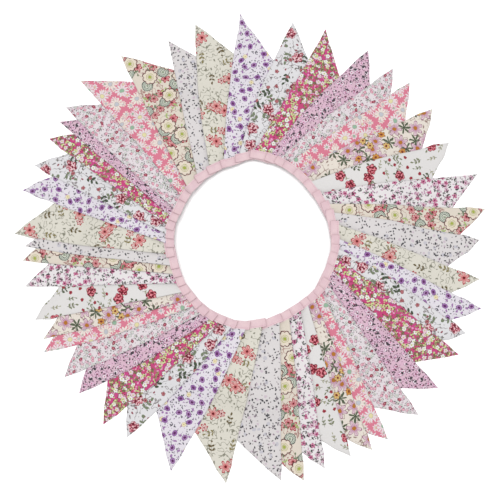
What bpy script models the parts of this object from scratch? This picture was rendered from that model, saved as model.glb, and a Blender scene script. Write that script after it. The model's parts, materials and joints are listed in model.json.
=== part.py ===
"""Fabric bunting laid out as a ring: 45 double cotton flags on one folded bias tape.

Metres, +Z up. The flags fan out round a hole, and each one lies on the one
before it, clockwise as seen from above. The tape folds back on itself between
two flags, so the whole string closes into a ring.
"""
import math

import bmesh
import bpy
import numpy as np
from mathutils import Vector

FLAG_APEX = math.radians(43.0)
CLOTH_THICKNESS = 0.0010
TAPE_WIDTH = 0.010
TAPE_THICKNESS = 0.0010
GAP = 0.0003

# The layers rise by one full step where tape lies between the flags, and by a
# smaller one further out, where cloth lies on cloth.
LAYER_GAP = 0.0005
LOOSENESS = 0.00015
TAPE_STEP = 2.0 * (TAPE_THICKNESS + LAYER_GAP) + LOOSENESS
CLOTH_STEP = 0.0022
TAPE_STEP_REACH = 0.188
CLOTH_STEP_REACH = 0.235

# How far a flag drapes before it meets the floor beside the flag below it.
DRAPE_MARGIN = 0.005
DRAPE_NEAR_HOLE = 0.052
DRAPE_NEAR_TIPS = 0.024
DRAPE_INNER_REACH = 0.150
DRAPE_OUTER_REACH = 0.230
FLAGS_BELOW = 16

CLOTH_DIVISIONS = 9
RUN_STATIONS = 8
FOLD_STATIONS = 2

# One row for each flag, clockwise from the top: its print, the clock angle of
# its tip in degrees, the reach of its tip from the hole's centre in
# millimetres, and the same two for the corner that shows at the hole.
FLAG_COLUMNS = ("print", "tip_clock", "tip_reach", "corner_clock", "corner_reach")
FLAG_ROWS = (
    ("B", 357.0, 285, 337.5, 93),
    ("C",  10.5, 278, 348.0, 95),
    ("D",  19.0, 280, 358.5, 99),
    ("E",  31.5, 278,   9.0, 97),
    ("F",  39.0, 276,  16.0, 96),
    ("G",  44.5, 276,  22.5, 94),
    ("H",  53.5, 275,  32.0, 92),
    ("I",  63.0, 269,  42.5, 90),
    ("J",  73.5, 286,  53.0, 90),
    ("K",  82.0, 285,  62.5, 92),
    ("L",  90.0, 275,  69.0, 93),
    ("A",  99.5, 277,  77.5, 95),
    ("B", 106.5, 286,  87.5, 94),
    ("C", 113.5, 278,  94.0, 94),
    ("D", 119.0, 281, 100.0, 93),
    ("E", 128.5, 282, 109.0, 93),
    ("F", 136.0, 285, 119.0, 95),
    ("G", 146.0, 285, 125.5, 95),
    ("H", 150.0, 285, 132.0, 94),
    ("I", 155.5, 280, 138.0, 93),
    ("J", 162.0, 282, 144.0, 93),
    ("K", 168.0, 290, 153.5, 94),
    ("L", 173.0, 285, 160.5, 94),
    ("A", 186.0, 288, 171.5, 95),
    ("B", 199.5, 289, 182.0, 98),
    ("C", 212.5, 277, 190.5, 99),
    ("D", 219.0, 281, 198.5, 98),
    ("E", 228.5, 275, 205.0, 99),
    ("F", 234.0, 277, 211.5, 99),
    ("G", 241.5, 282, 218.0, 97),
    ("H", 244.5, 276, 224.0, 96),
    ("I", 249.0, 276, 230.0, 96),
    ("J", 258.5, 279, 236.0, 95),
    ("K", 265.0, 278, 242.5, 94),
    ("L", 269.0, 275, 248.5, 93),
    ("A", 272.0, 288, 257.5, 94),
    ("B", 282.5, 286, 264.0, 93),
    ("C", 289.0, 281, 270.0, 93),
    ("D", 297.0, 279, 276.0, 94),
    ("E", 302.5, 279, 282.5, 92),
    ("F", 305.5, 282, 288.5, 90),
    ("G", 313.5, 291, 299.0, 90),
    ("K", 325.0, 282, 306.0, 91),
    ("L", 337.5, 271, 316.5, 93),
    ("A", 345.5, 280, 327.0, 93),
)
# The string's two ends meet between these flags, counted from 0.
LAST_FLAG = 41
FIRST_FLAG = 42

# Ground colour of each print, as linear red, green and blue.
PRINT_COLOURS = {
    "A": (0.72, 0.68, 0.59),
    "B": (0.66, 0.52, 0.70),
    "C": (0.74, 0.76, 0.76),
    "D": (0.62, 0.18, 0.34),
    "E": (0.58, 0.42, 0.56),
    "F": (0.74, 0.76, 0.75),
    "G": (0.76, 0.30, 0.38),
    "H": (0.74, 0.68, 0.54),
    "I": (0.76, 0.72, 0.70),
    "J": (0.72, 0.52, 0.60),
    "K": (0.72, 0.55, 0.44),
    "L": (0.68, 0.66, 0.72),
}
TAPE_COLOUR = (0.82, 0.62, 0.66)


def clock_point(clock, reach):
    """The point at a clock angle in degrees, 0 at +Y, and a reach in metres."""
    angle = math.radians(clock)
    return np.array([reach * math.sin(angle), reach * math.cos(angle)])


def turned(vector, angle):
    """A plane vector turned anticlockwise by an angle in radians."""
    c = math.cos(angle)
    s = math.sin(angle)
    return np.array([c * vector[0] - s * vector[1], s * vector[0] + c * vector[1]])


def smooth_step(value):
    """0 below 0, 1 above 1, and a smooth rise between."""
    t = np.clip(value, 0.0, 1.0)
    return t * t * (3.0 - 2.0 * t)


def make_flag_plan(row):
    """The plan of one flag: its corners, and unit vectors along and across its base."""
    cells = dict(zip(FLAG_COLUMNS, row))
    tip = clock_point(cells["tip_clock"], cells["tip_reach"] / 1000.0)
    start = clock_point(cells["corner_clock"], cells["corner_reach"] / 1000.0)
    end = tip + turned(start - tip, FLAG_APEX)
    along = (end - start) / np.linalg.norm(end - start)
    across = np.array([-along[1], along[0]])
    return {
        "print": cells["print"],
        "tip": tip,
        "start": start,
        "end": end,
        "along": along,
        "across": across,
        "width": float(np.linalg.norm(end - start)),
        "height": float((tip - start) @ across),
    }


PLANS = [make_flag_plan(row) for row in FLAG_ROWS]


def distance_outside(plan, points):
    """How far each point lies outside a flag's outline, 0 inside it."""
    corners = (plan["start"], plan["end"], plan["tip"])
    nearest = np.full(len(points), np.inf)
    inside = np.ones(len(points), dtype=bool)
    for i, corner in enumerate(corners):
        side = corners[(i + 1) % 3] - corner
        offset = points - corner
        share = np.clip(offset @ side / (side @ side), 0.0, 1.0)
        nearest = np.minimum(nearest, np.hypot(*(offset - share[:, None] * side).T))
        inside &= side[0] * offset[:, 1] - side[1] * offset[:, 0] >= 0.0
    return np.where(inside, 0.0, nearest)


def underside(index, points):
    """The height of a flag's underside at plan points: one step for each flag below it."""
    points = np.asarray(points, dtype=float).reshape(-1, 2)
    reach = np.hypot(points[:, 0], points[:, 1])
    outward = smooth_step((reach - DRAPE_INNER_REACH) / (DRAPE_OUTER_REACH - DRAPE_INNER_REACH))
    drape = DRAPE_NEAR_HOLE + (DRAPE_NEAR_TIPS - DRAPE_NEAR_HOLE) * outward
    layers = np.zeros(len(points))
    for back in range(1, FLAGS_BELOW + 1):
        outside = distance_outside(PLANS[(index - back) % len(PLANS)], points)
        layers += 1.0 - smooth_step((outside - DRAPE_MARGIN) / drape)
    change = smooth_step((reach - TAPE_STEP_REACH) / (CLOTH_STEP_REACH - TAPE_STEP_REACH))
    return layers * (TAPE_STEP + (CLOTH_STEP - TAPE_STEP) * change)


def add_object(name, vertices, faces, colour):
    """One closed solid as an object with its own material."""
    mesh = bpy.data.meshes.new(name)
    mesh.from_pydata([tuple(v) for v in vertices], [], faces)
    shape = bmesh.new()
    shape.from_mesh(mesh)
    bmesh.ops.recalc_face_normals(shape, faces=shape.faces)
    shape.to_mesh(mesh)
    shape.free()
    material = bpy.data.materials.new(name)
    material.use_nodes = True
    shader = material.node_tree.nodes["Principled BSDF"]
    shader.inputs["Base Color"].default_value = (*colour, 1.0)
    shader.inputs["Roughness"].default_value = 0.9
    shader.inputs["Metallic"].default_value = 0.0
    mesh.materials.append(material)
    piece = bpy.data.objects.new(name, mesh)
    bpy.context.scene.collection.objects.link(piece)
    return piece


def cloth_points(plan):
    """Plan points of a flag's cloth in rows from the tape to the tip, each row one point shorter."""
    off = TAPE_WIDTH + GAP
    left = plan["start"] + (plan["tip"] - plan["start"]) * off / plan["height"]
    right = plan["end"] + (plan["tip"] - plan["end"]) * off / plan["height"]
    points = []
    for row in range(CLOTH_DIVISIONS + 1):
        for column in range(CLOTH_DIVISIONS + 1 - row):
            to_right = (right - left) * column / CLOTH_DIVISIONS
            to_tip = (plan["tip"] - left) * row / CLOTH_DIVISIONS
            points.append(left + to_right + to_tip)
    return np.array(points)


def cloth_triangles():
    """Triangles over the rows of cloth_points, and the loop of points round its rim."""
    rows = []
    first = 0
    for row in range(CLOTH_DIVISIONS + 1):
        size = CLOTH_DIVISIONS + 1 - row
        rows.append(list(range(first, first + size)))
        first += size
    triangles = []
    for here, above in zip(rows, rows[1:]):
        for column in range(len(above)):
            triangles.append((here[column], here[column + 1], above[column]))
            if column:
                triangles.append((above[column - 1], here[column], above[column]))
    rim = rows[0] + [row[-1] for row in rows[1:]] + [row[0] for row in rows[-2:0:-1]]
    return triangles, rim


def make_flag(index):
    """One flag: a sheet of even thickness that drapes over the flags below it."""
    plan = PLANS[index]
    points = cloth_points(plan)
    low = underside(index, points)
    count = len(points)
    vertices = [(x, y, z) for (x, y), z in zip(points, low)]
    vertices += [(x, y, z + CLOTH_THICKNESS) for (x, y), z in zip(points, low)]
    triangles, rim = cloth_triangles()
    faces = [tuple(reversed(t)) for t in triangles]
    faces += [tuple(i + count for i in t) for t in triangles]
    for here, there in zip(rim, rim[1:] + rim[:1]):
        faces.append((here, there, there + count))
        faces.append((here, there + count, here + count))
    return add_object(f"flag_{index + 1:02d}", vertices, faces, PRINT_COLOURS[plan["print"]])


def tape_section(inner, across, levels, upper):
    """The tape's section: hole side then outer side, first face then second.

    The first face is the underside on a run along a flag, and the upper side
    on the way back. Levels are the heights of the section's underside.
    """
    section = []
    for off, level in zip((0.0, TAPE_WIDTH), levels):
        x, y = inner + across * off
        first, second = level, level + TAPE_THICKNESS
        if upper:
            first, second = second, first
        section.append((x, y, first))
        section.append((x, y, second))
    return section


def run_sections(index):
    """The tape's sections along the base of one flag, and their heights."""
    plan = PLANS[index]
    next_start = (PLANS[(index + 1) % len(PLANS)]["start"] - plan["start"]) @ plan["along"]
    shares = np.append(0.0, np.linspace(next_start / plan["width"], 1.0, RUN_STATIONS - 1))
    inner = plan["start"] + (plan["end"] - plan["start"]) * shares[:, None]
    levels = np.stack([underside(index, inner + plan["across"] * off) for off in (0.0, TAPE_WIDTH)], 1)
    sections = [tape_section(p, plan["across"], z, False) for p, z in zip(inner, levels)]
    return sections, shares, levels


def return_sections(index, shares, levels):
    """The tape's way back over its own run, to the start of the next flag."""
    plan = PLANS[index]
    following = PLANS[(index + 1) % len(PLANS)]
    way = following["start"] - plan["end"]
    sections = []
    for share in np.linspace(0.0, 1.0, RUN_STATIONS - 1):
        inner = plan["end"] + way * share
        across = plan["across"] + (following["across"] - plan["across"]) * share
        across = across / np.linalg.norm(across)
        above = []
        for off in (0.0, TAPE_WIDTH):
            offset = inner + across * off - plan["start"]
            on_run = offset @ plan["along"] / plan["width"]
            hole_side, outer_side = (np.interp(on_run, shares, levels[:, side]) for side in (0, 1))
            off_run = offset @ plan["across"] / TAPE_WIDTH
            below = hole_side + (outer_side - hole_side) * off_run
            above.append(below + TAPE_THICKNESS + LAYER_GAP)
        sections.append(tape_section(inner, across, above, True))
    return sections


def fold_sections(before, after, forward, first_outside):
    """The tape's turn of 180 degrees from one level to the next one above it."""
    wide = TAPE_THICKNESS + LAYER_GAP / 2.0
    narrow = LAYER_GAP / 2.0
    sections = []
    for step in range(1, FOLD_STATIONS + 1):
        angle = math.pi * step / (FOLD_STATIONS + 1)
        share = (1.0 - math.cos(angle)) / 2.0
        section = []
        for number, (low, high) in enumerate(zip(before, after)):
            outside = (number % 2 == 0) == first_outside
            reach = (wide if outside else narrow) * math.sin(angle)
            x = low[0] + (high[0] - low[0]) * share + forward[0] * reach
            y = low[1] + (high[1] - low[1]) * share + forward[1] * reach
            section.append((x, y, low[2] + (high[2] - low[2]) * share))
        sections.append(section)
    return sections


def tape_sections():
    """The sections of the whole tape, each with whether it is on a way back."""
    sections = []
    index = FIRST_FLAG
    run, shares, levels = run_sections(index)
    sections += [(section, False) for section in run]
    while index != LAST_FLAG:
        plan = PLANS[index]
        back = return_sections(index, shares, levels)
        turn = fold_sections(run[-1], back[0], plan["along"], True)
        sections += [(section, True) for section in turn + back]
        index = (index + 1) % len(PLANS)
        run, shares, levels = run_sections(index)
        turn = fold_sections(back[-1], run[0], -plan["along"], False)
        sections += [(section, False) for section in turn + run]
    return sections


def strip_faces(a, b, going_back):
    """Triangles between two sections, split the same way in layers that lie together."""
    faces = []
    for i, j, even in ((0, 1, True), (1, 3, not going_back), (3, 2, True), (2, 0, going_back)):
        if even:
            faces += [(a + i, a + j, b + j), (a + i, b + j, b + i)]
        else:
            faces += [(a + i, a + j, b + i), (a + j, b + j, b + i)]
    return faces


def make_tape():
    """The bias tape as one strip that runs along each flag and folds back to the next."""
    sections = tape_sections()
    vertices = [corner for section, _ in sections for corner in section]
    faces = []
    for number in range(1, len(sections)):
        faces += strip_faces(4 * number - 4, 4 * number, sections[number][1])
    end = 4 * (len(sections) - 1)
    faces.append((0, 2, 3, 1))
    faces.append((end, end + 1, end + 3, end + 2))
    return add_object("binding_tape", vertices, faces, TAPE_COLOUR)


def centre_on_origin(pieces):
    """Moves all meshes so that the origin is the middle of the box's underside."""
    corners = np.array([v.co for piece in pieces for v in piece.data.vertices])
    low = corners.min(axis=0)
    high = corners.max(axis=0)
    offset = Vector((-(low[0] + high[0]) / 2.0, -(low[1] + high[1]) / 2.0, -low[2]))
    for piece in pieces:
        for vertex in piece.data.vertices:
            vertex.co += offset


def main():
    for old in list(bpy.data.objects):
        bpy.data.objects.remove(old, do_unlink=True)
    pieces = [make_flag(index) for index in range(len(PLANS))]
    pieces.append(make_tape())
    centre_on_origin(pieces)


main()
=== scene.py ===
import json
import math

import bpy
import numpy as np
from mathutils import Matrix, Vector


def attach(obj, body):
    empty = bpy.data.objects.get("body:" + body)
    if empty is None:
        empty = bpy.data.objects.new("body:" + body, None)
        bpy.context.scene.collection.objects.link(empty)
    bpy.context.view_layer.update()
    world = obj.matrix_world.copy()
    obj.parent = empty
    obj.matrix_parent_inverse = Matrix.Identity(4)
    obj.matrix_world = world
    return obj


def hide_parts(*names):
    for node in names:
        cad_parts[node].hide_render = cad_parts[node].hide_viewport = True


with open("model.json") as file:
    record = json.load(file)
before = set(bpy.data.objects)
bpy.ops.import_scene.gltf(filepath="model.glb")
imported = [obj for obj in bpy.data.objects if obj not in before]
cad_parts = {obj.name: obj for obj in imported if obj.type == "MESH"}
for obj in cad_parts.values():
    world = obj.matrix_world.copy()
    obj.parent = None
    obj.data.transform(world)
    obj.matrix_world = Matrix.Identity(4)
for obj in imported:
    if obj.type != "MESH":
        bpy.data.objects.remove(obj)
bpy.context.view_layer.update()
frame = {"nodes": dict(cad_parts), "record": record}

# Metres throughout. The ring's centre in the part's frame, and the sizes of the solids.
RING_CENTRE = np.array([0.0027991, 0.0009064])
TAPE_WIDTH = 0.010
TAPE_THICKNESS = 0.0010
CLOTH_THICKNESS = 0.0010
GAP = 0.0003
LAYER_GAP = 0.0005
TAPE_STEP = 0.00315
CLOTH_STEP = 0.0022
TAPE_STEP_REACH = 0.188
CLOTH_STEP_REACH = 0.235
DRAPE_MARGIN = 0.005
DRAPE_NEAR_HOLE = 0.052
DRAPE_NEAR_TIPS = 0.024
DRAPE_INNER_REACH = 0.150
DRAPE_OUTER_REACH = 0.230
FLAGS_BELOW = 16
LAST_FLAG = 41
FIRST_FLAG = 42

# The cloth and the tape as they are seen: finer and softer than the solids.
FLAGS = 45
SHEET_DIVISIONS = 44
SHEET_THICKNESS = 0.0006
SHEET_INSIDE_TAPE = 0.0007
RIM_OUTSET = 0.0015
FACE_INSET = 0.0004 / 0.06
LOWEST_CLOTH = 0.00002
EDGE_DROOP = 0.0012
EDGE_DROOP_WIDTH = 0.013
EDGE_DROOP_START = 0.004
EDGE_DROOP_RISE = 0.030
EDGE_RIPPLE = 0.00025
PINCH_PLACE = 0.90
PINCH_WIDTH = 0.05
CREASE_WANDER = 0.0035
CREASE_WANDER_LENGTH = 0.017
CREASE_FADE_LENGTH = 0.031
HELD_BY_TAPE = 0.020
HELD_BY_SEAM = 0.012
RUN_STATIONS = 16
FOLD_STATIONS = 7
TAPE_FOLD_SHADE = 0.0022

# The hole's edge lies inside the line through the flags' corners, by less at its top.
HOLE_DIP = 0.0034
HOLE_DIP_AT_TOP = 0.0004
HOLE_TOP = math.radians(1.0)
HOLE_TOP_WIDTH = math.radians(13.0)
HOLE_SOFTNESS = 0.0006

NODE_SLOTS = {row["node"]: row["material_slot"] for row in frame["record"]["subparts"]}


def smooth_step(value):
    """0 below 0, 1 above 1, and a smooth rise between."""
    t = np.clip(value, 0.0, 1.0)
    return t * t * (3.0 - 2.0 * t)


def node_points(node):
    """All corners of a CAD node as an array."""
    mesh = frame["nodes"][node].data
    flat = np.empty(len(mesh.vertices) * 3)
    mesh.vertices.foreach_get("co", flat)
    return flat.reshape(-1, 3)


def make_plan(node):
    """One flag's corners and unit vectors in plan, read from its solid, round the ring's centre."""
    points = node_points(node)[:, :2] - RING_CENTRE
    tip = points[np.argmax(np.hypot(*points.T))]
    left = points[np.argmax(np.hypot(*(points - tip).T))]
    side = tip - left
    away = np.abs(side[0] * (points[:, 1] - left[1]) - side[1] * (points[:, 0] - left[0]))
    right = points[np.argmax(away)]
    if np.cross(right - left, side) < 0.0:
        left, right = right, left
    along = (right - left) / np.linalg.norm(right - left)
    across = np.array([-along[1], along[0]])
    cloth_height = float((tip - left) @ across)
    grow = (cloth_height + TAPE_WIDTH + GAP) / cloth_height
    start = tip + (left - tip) * grow
    end = tip + (right - tip) * grow
    return {
        "tip": tip,
        "start": start,
        "end": end,
        "along": along,
        "across": across,
        "width": float(np.linalg.norm(end - start)),
        "height": float((tip - start) @ across),
    }


PLANS = [make_plan(f"flag_{number:02d}") for number in range(1, FLAGS + 1)]


def distance_outside(plan, points):
    """How far each point lies outside a flag's outline, 0 inside it."""
    corners = (plan["start"], plan["end"], plan["tip"])
    nearest = np.full(len(points), np.inf)
    inside = np.ones(len(points), dtype=bool)
    for i, corner in enumerate(corners):
        side = corners[(i + 1) % 3] - corner
        offset = points - corner
        share = np.clip(offset @ side / (side @ side), 0.0, 1.0)
        nearest = np.minimum(nearest, np.hypot(*(offset - share[:, None] * side).T))
        inside &= side[0] * offset[:, 1] - side[1] * offset[:, 0] >= 0.0
    return np.where(inside, 0.0, nearest)


def coverage(index, points):
    """1 where a flag lies under the points, falling softly to 0 outside its outline."""
    reach = np.hypot(points[:, 0], points[:, 1])
    outward = smooth_step((reach - DRAPE_INNER_REACH) / (DRAPE_OUTER_REACH - DRAPE_INNER_REACH))
    drape = DRAPE_NEAR_HOLE + (DRAPE_NEAR_TIPS - DRAPE_NEAR_HOLE) * outward
    outside = distance_outside(PLANS[index % FLAGS], points)
    return 1.0 - smooth_step((outside - DRAPE_MARGIN) / drape)


def layer_step(points):
    """The height of one layer of the pile at plan points."""
    reach = np.hypot(points[:, 0], points[:, 1])
    change = smooth_step((reach - TAPE_STEP_REACH) / (CLOTH_STEP_REACH - TAPE_STEP_REACH))
    return TAPE_STEP + (CLOTH_STEP - TAPE_STEP) * change


def underside(index, points):
    """The height of a flag's underside: one step for each flag below it."""
    points = np.asarray(points, dtype=float).reshape(-1, 2)
    layers = sum(coverage(index - back, points) for back in range(1, FLAGS_BELOW + 1))
    return layers * layer_step(points)


def add_mesh(name, vertices, faces, uvs, layers, material):
    """A smooth closed mesh with a UV for each vertex and named values for each vertex."""
    vertices = np.asarray(vertices, dtype=float)
    vertices[:, :2] += RING_CENTRE
    mesh = bpy.data.meshes.new(name)
    mesh.from_pydata(vertices.tolist(), [], faces)
    loops = np.empty(len(mesh.loops), dtype=np.int32)
    mesh.loops.foreach_get("vertex_index", loops)
    uv_layer = mesh.uv_layers.new(name="UVMap")
    uv_layer.data.foreach_set("uv", np.asarray(uvs, dtype=np.float32)[loops].ravel())
    for key, values in layers.items():
        layer = mesh.attributes.new(name=key, type="FLOAT", domain="POINT")
        layer.data.foreach_set("value", np.asarray(values, dtype=np.float32))
    mesh.polygons.foreach_set("use_smooth", np.ones(len(mesh.polygons), dtype=bool))
    mesh.materials.append(material)
    mesh.update()
    piece = bpy.data.objects.new(name, mesh)
    bpy.context.scene.collection.objects.link(piece)
    return piece


def sheet_grid():
    """Shares towards the right corner and the tip for each point, triangles, and the rim's loop."""
    rows = []
    shares = []
    for row in range(SHEET_DIVISIONS + 1):
        size = SHEET_DIVISIONS + 1 - row
        rows.append(list(range(len(shares), len(shares) + size)))
        shares += [(column / SHEET_DIVISIONS, row / SHEET_DIVISIONS) for column in range(size)]
    triangles = []
    for here, above in zip(rows, rows[1:]):
        for column in range(len(above)):
            triangles.append((here[column], here[column + 1], above[column]))
            if column:
                triangles.append((above[column - 1], here[column], above[column]))
    rim = rows[0] + [row[-1] for row in rows[1:]] + [row[0] for row in rows[-2:0:-1]]
    return np.array(shares), triangles, rim


SHEET_SHARES, SHEET_TRIANGLES, SHEET_RIM = sheet_grid()


def line_distance(points, a, b):
    """The distance of each point from the line through a and b."""
    side = (b - a) / np.linalg.norm(b - a)
    offset = points - a
    return np.abs(side[0] * offset[:, 1] - side[1] * offset[:, 0])


# Sets of soft creases. Columns: the share of the way from the base to the tip where
# a crease crosses the flag's middle, its lean in degrees, its height and its width in millimetres.
CREASES = (
    ((0.22, 12, -0.28, 6.0), (0.58, -25, 0.24, 8.0), (0.86, 40, -0.20, 5.0)),
    ((0.35, -18, 0.26, 7.0), (0.70, 30, -0.26, 6.0)),
    ((0.15, 35, -0.24, 8.0), (0.48, 5, 0.22, 5.0), (0.78, -38, -0.24, 7.0)),
    ((0.28, -40, 0.22, 9.0), (0.63, 14, -0.28, 6.0), (0.90, -10, 0.18, 4.0)),
    ((0.42, 24, -0.26, 7.0), (0.81, -22, 0.24, 6.0)),
    ((0.18, -8, 0.24, 6.0), (0.52, 44, -0.24, 8.0), (0.74, -30, 0.20, 5.0)),
    ((0.31, 32, 0.25, 7.0), (0.66, -12, -0.24, 7.0)),
)

# The flags' sides aren't straight. A row for each flag, in millimetres: how far its left side and
# its right side bow out, how far its tip leans to the right, and how far both pinch in before it.
OUTLINES = (
    (3.2, -3.4, -0.3, 1.2), (6.5, -0.4, -0.3, -0.9), (-0.8, 2.3, -0.5, 0.6),
    (6.7, 0.1, -2.1, -0.9), (4.1, 0.7, -0.2, -1.1), (0.2, 5.5, 0.3, -1.3),
    (2.9, 7.0, 0.2, -1.5), (3.7, 5.3, 1.2, -2.2), (3.0, 2.9, -0.8, 0.2),
    (0.6, 4.1, 0.3, -1.4), (2.8, 7.0, -1.2, -2.3), (1.5, 3.2, 0.5, -1.2),
    (2.4, 4.2, 0.4, -1.6), (5.2, 5.8, 0.4, -2.4), (2.2, 6.0, 0.3, -0.6),
    (0.5, 6.1, 0.6, -0.9), (-0.4, 3.9, 2.9, -1.2), (1.7, 4.5, -0.5, -1.1),
    (0.5, 3.4, 2.1, -1.3), (0.0, 4.5, 0.8, -1.3), (0.1, 4.1, 2.6, -1.6),
    (1.6, 5.0, 0.1, -1.2), (0.4, 6.6, 1.4, -0.8), (1.3, 3.0, 1.0, -1.3),
    (4.9, -0.9, -0.6, -1.2), (5.5, 1.3, -0.8, -1.0), (3.9, 1.4, -0.5, -1.3),
    (5.9, 2.1, -0.3, -0.8), (3.9, 1.2, -0.6, -0.9), (5.5, -1.6, 1.2, -0.6),
    (2.2, -1.1, 0.8, 0.6), (0.4, 3.2, 4.5, -2.3), (0.5, 0.8, 0.5, -0.6),
    (0.6, 6.0, 0.5, -0.4), (2.5, 0.0, -1.8, -0.1), (3.8, 4.8, -1.4, -1.1),
    (1.5, 4.7, 0.2, -1.7), (1.3, 6.6, 1.4, -1.7), (1.3, 4.2, -0.7, -1.4),
    (0.9, 3.0, -2.9, -0.1), (2.8, 7.0, 1.8, -0.7), (-0.9, 7.0, -1.6, -0.2),
    (1.5, 7.0, -0.9, -1.1), (0.9, 4.8, -0.7, 0.1), (5.0, 3.5, -0.7, -1.0),
)


def sheet_shape(index):
    """A flag's points in plan, the height of its underside, and its distances from the edges."""
    plan = PLANS[index]
    off = TAPE_WIDTH - SHEET_INSIDE_TAPE
    left = plan["start"] + (plan["tip"] - plan["start"]) * off / plan["height"]
    right = plan["end"] + (plan["tip"] - plan["end"]) * off / plan["height"]
    to_right, to_tip = SHEET_SHARES.T
    points = left + np.outer(to_right, right - left) + np.outer(to_tip, plan["tip"] - left)
    from_left = line_distance(points, plan["start"], plan["tip"])
    from_right = line_distance(points, plan["end"], plan["tip"])
    from_base = (points - plan["start"]) @ plan["across"] - TAPE_WIDTH

    bow_left, bow_right, hook, pinch = (value / 1000.0 for value in OUTLINES[index])
    across_row = to_right / np.maximum(1.0 - to_tip, 1e-6)
    belly = np.sin(math.pi * to_tip)
    near_tip = np.exp(-(((to_tip - PINCH_PLACE) / PINCH_WIDTH) ** 2))
    ripple = EDGE_RIPPLE * np.sin(index * 1.7 + to_tip * (17.0 + index % 5)) * belly
    sideways = (across_row * bow_right - (1.0 - across_row) * bow_left) * belly + hook * to_tip ** 2
    sideways += (1.0 - 2.0 * across_row) * pinch * near_tip + ripple
    flat_points = points
    points = points + np.outer(sideways, plan["along"])

    relief = np.zeros(len(points))
    middle = plan["start"] + (plan["end"] - plan["start"]) / 2.0
    for share, lean, tall, wide in CREASES[(index * 3 + index // 7) % len(CREASES)]:
        at = middle + (plan["tip"] - middle) * share
        angle = math.radians(lean)
        normal = plan["along"] * math.sin(angle) + plan["across"] * math.cos(angle)
        bent = (flat_points - at) @ plan["along"]
        wander = CREASE_WANDER * np.sin(bent / CREASE_WANDER_LENGTH + index)
        distance = (flat_points - at) @ normal + wander
        fade = 0.55 + 0.45 * np.sin(bent / CREASE_FADE_LENGTH + 1.3 * index)
        relief += tall / 1000.0 * fade * np.exp(-((distance * 1000.0 / wide) ** 2))
    held = smooth_step(from_base / HELD_BY_TAPE) * smooth_step(from_left / HELD_BY_SEAM)

    low = underside(index, points) + (CLOTH_THICKNESS - SHEET_THICKNESS) / 2.0
    below = coverage(index - 1, points)
    droop = EDGE_DROOP * (1.0 - smooth_step(from_left / EDGE_DROOP_WIDTH))
    droop = droop * below * smooth_step((from_base - EDGE_DROOP_START) / EDGE_DROOP_RISE)
    low = low - droop - (CLOTH_THICKNESS - SHEET_THICKNESS) / 2.0 * (1.0 - below)
    low = low + relief * held
    return points, np.maximum(low, LOWEST_CLOTH), from_left, from_right, from_base


def make_flag(index, material):
    """One pennant as a thin closed sheet on its solid's folds."""
    plan = PLANS[index]
    points, low, from_left, from_right, from_base = sheet_shape(index)
    count = len(points)
    middle = low + SHEET_THICKNESS / 2.0
    rim = np.array(SHEET_RIM)
    centre = points.mean(axis=0)
    vertices = np.concatenate([
        np.column_stack([points, low]),
        np.column_stack([points, low + SHEET_THICKNESS]),
        np.column_stack([points[rim] + (points[rim] - centre) * RIM_OUTSET, middle[rim]]),
    ])
    for part in (slice(0, count), slice(count, 2 * count)):
        block = vertices[part]
        block[rim, :2] += (centre - block[rim, :2]) * FACE_INSET
    offset = np.concatenate([points, points, points[rim]]) - plan["tip"]
    uvs = np.column_stack([offset @ plan["along"], -(offset @ plan["across"])])
    faces = [tuple(reversed(t)) for t in SHEET_TRIANGLES]
    faces += [tuple(i + count for i in t) for t in SHEET_TRIANGLES]
    size = len(rim)
    for k in range(size):
        a, b = SHEET_RIM[k], SHEET_RIM[(k + 1) % size]
        m, n = 2 * count + k, 2 * count + (k + 1) % size
        faces.append((a, b, n, m))
        faces.append((m, n, b + count, a + count))
    edge = np.minimum(from_left, from_right)
    edge = np.concatenate([edge, edge, edge[rim]])
    base = np.concatenate([from_base, from_base, from_base[rim]])
    name = f"cloth_{index + 1:02d}"
    return add_mesh(name, vertices, faces, uvs, {"edge": edge, "base": base}, material)


# The flags' corners that show at the hole, as clock angles and reaches: they set its edge.
CORNER_CLOCKS = np.array([math.atan2(*plan["start"]) for plan in PLANS])
CORNER_REACHES = np.array([math.hypot(*plan["start"]) for plan in PLANS])


def clear_of_hole(points):
    """Points of the tape's folded edge, bent outwards where they would cross the hole's edge."""
    points = np.asarray(points, dtype=float).reshape(-1, 2)
    reach = np.hypot(*points.T)
    clock = np.arctan2(*points.T)
    at_top = np.exp(-(((clock - HOLE_TOP) / HOLE_TOP_WIDTH) ** 2))
    edge = np.interp(clock, CORNER_CLOCKS, CORNER_REACHES, period=2.0 * math.pi)
    edge -= HOLE_DIP + (HOLE_DIP_AT_TOP - HOLE_DIP) * at_top
    push = HOLE_SOFTNESS * np.log1p(np.exp((edge - reach) / HOLE_SOFTNESS))
    return points * (1.0 + push / reach)[:, None]


def tape_section(inner, across, levels, upper):
    """The four corners of the tape's section: hole side then outer side, first face then second."""
    section = []
    for off, level in zip((0.0, TAPE_WIDTH), levels):
        x, y = inner + across * off
        first, second = level, level + TAPE_THICKNESS
        if upper:
            first, second = second, first
        section.append((x, y, first))
        section.append((x, y, second))
    return section


def run_sections(index):
    """The tape's sections along the base of one flag, and their heights."""
    plan = PLANS[index]
    shares = np.linspace(0.0, 1.0, RUN_STATIONS)
    inner = clear_of_hole(plan["start"] + (plan["end"] - plan["start"]) * shares[:, None])
    across = plan["across"]
    levels = np.stack([underside(index, inner + across * off) for off in (0.0, TAPE_WIDTH)], 1)
    sections = [tape_section(point, across, z, False) for point, z in zip(inner, levels)]
    return sections, shares, levels


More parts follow.
